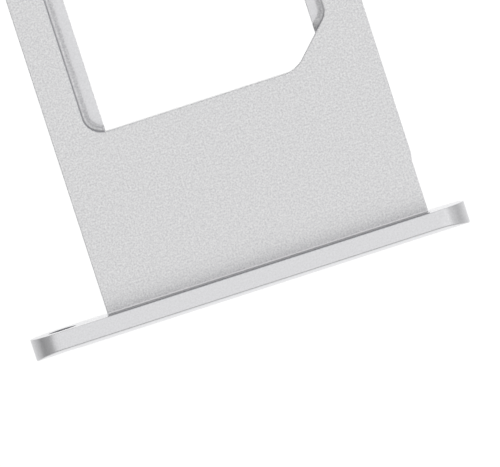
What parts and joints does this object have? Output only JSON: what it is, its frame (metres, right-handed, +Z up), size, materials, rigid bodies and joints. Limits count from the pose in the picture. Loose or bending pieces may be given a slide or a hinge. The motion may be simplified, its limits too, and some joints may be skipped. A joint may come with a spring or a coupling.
{
  "type": "sim card tray",
  "caption": "Flat metal tray with a clipped-corner pocket for a nano-size SIM card, a window through its floor, and an oval face plate with an eject-pin hole.",
  "frame": {"origin": "centre of the bounding box's base: below the middle of the face plate's length, half-way along the whole tray, on the face plate's lowest line", "axes": "+Y the way the tray goes into the phone, +X along the face plate towards its shorter ear, +Z up out of the card pocket"},
  "size_m": [0.0154, 0.0202, 0.0022],
  "materials": {
    "anodised_aluminium": "bead-blasted and clear anodised, satin silver"
  },
  "bodies": {
    "root": {"sim_card_tray": "anodised_aluminium"}
  },
  "joints": []
}
